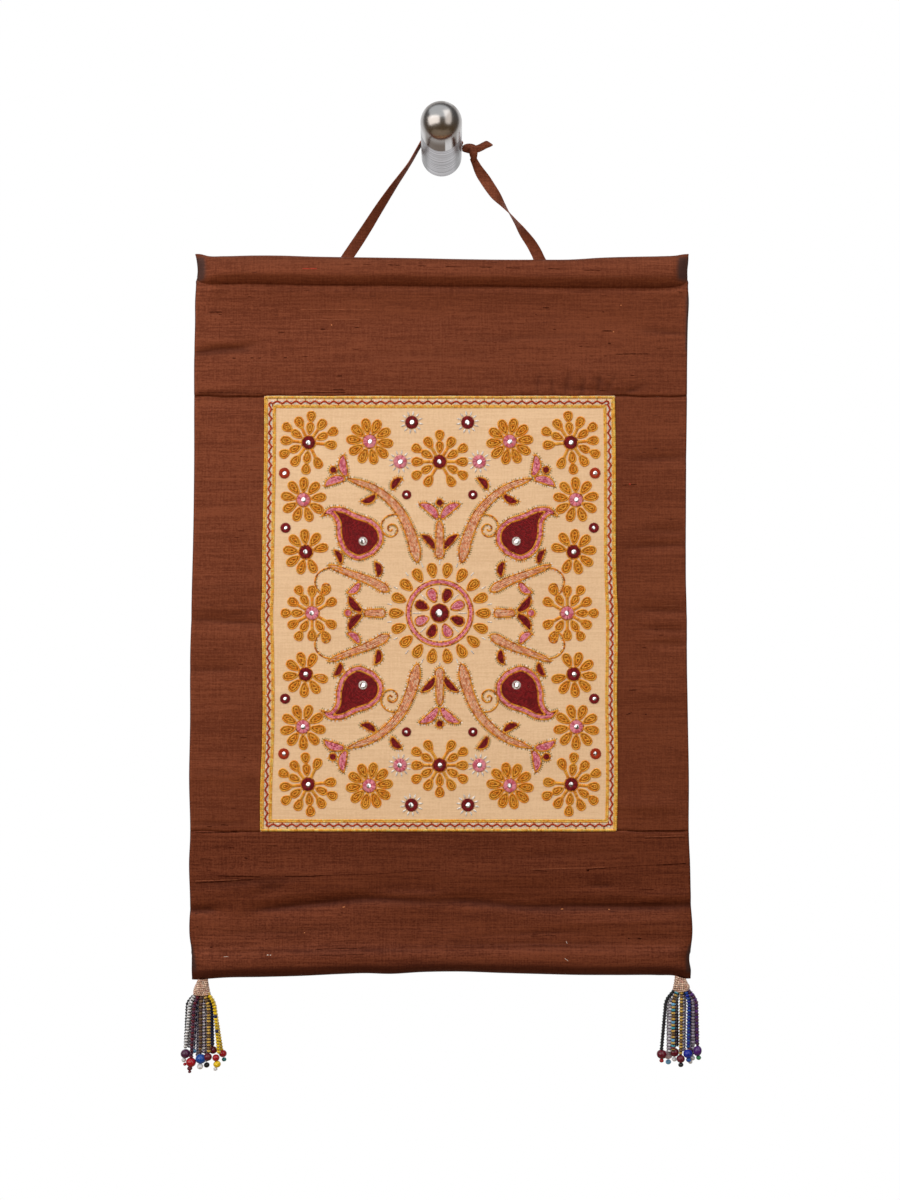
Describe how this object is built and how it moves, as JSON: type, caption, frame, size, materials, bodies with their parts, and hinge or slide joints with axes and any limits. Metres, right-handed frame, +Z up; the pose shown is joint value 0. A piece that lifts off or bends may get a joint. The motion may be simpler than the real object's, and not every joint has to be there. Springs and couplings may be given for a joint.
{
  "type": "ahir embroidery panel on a wall knob",
  "caption": "Brown silk wall hanging with a mirror-worked embroidered cream silk panel and beaded tassels, hung by a tied silk ribbon from a round-ended metal wall knob.",
  "frame": {"origin": "centre of the knob's flat wall face", "axes": "+Y points into the wall, +Z is up, and +X is to the right as seen from the front of the cloth"},
  "size_m": [0.4045, 0.0713, 0.745],
  "materials": {
    "brown_silk": "brown slubbed silk with a soft sheen",
    "cream_silk": "cream silk, lightly creased",
    "ribbon_silk": "dark brown woven silk ribbon",
    "satin_steel": "satin metal with fine turned rings",
    "seed_beads": "small glossy glass beads of many colours",
    "gold_thread": "ochre and gold chain stitch",
    "red_thread": "maroon and red chain stitch",
    "pink_thread": "pink and salmon chain stitch",
    "white_thread": "white stitches and small white beads",
    "small_mirror": "small round mirrors held by stitched rings"
  },
  "bodies": {
    "root": {"top_band": "brown_silk", "left_strip": "brown_silk", "right_strip": "brown_silk", "bottom_band": "brown_silk", "embroidered_panel": "cream_silk", "strap_left": "ribbon_silk", "strap_right": "ribbon_silk", "strap_knot": "ribbon_silk", "tassel_left": "seed_beads", "tassel_right": "seed_beads", "wall_knob": "satin_steel"}
  },
  "joints": []
}
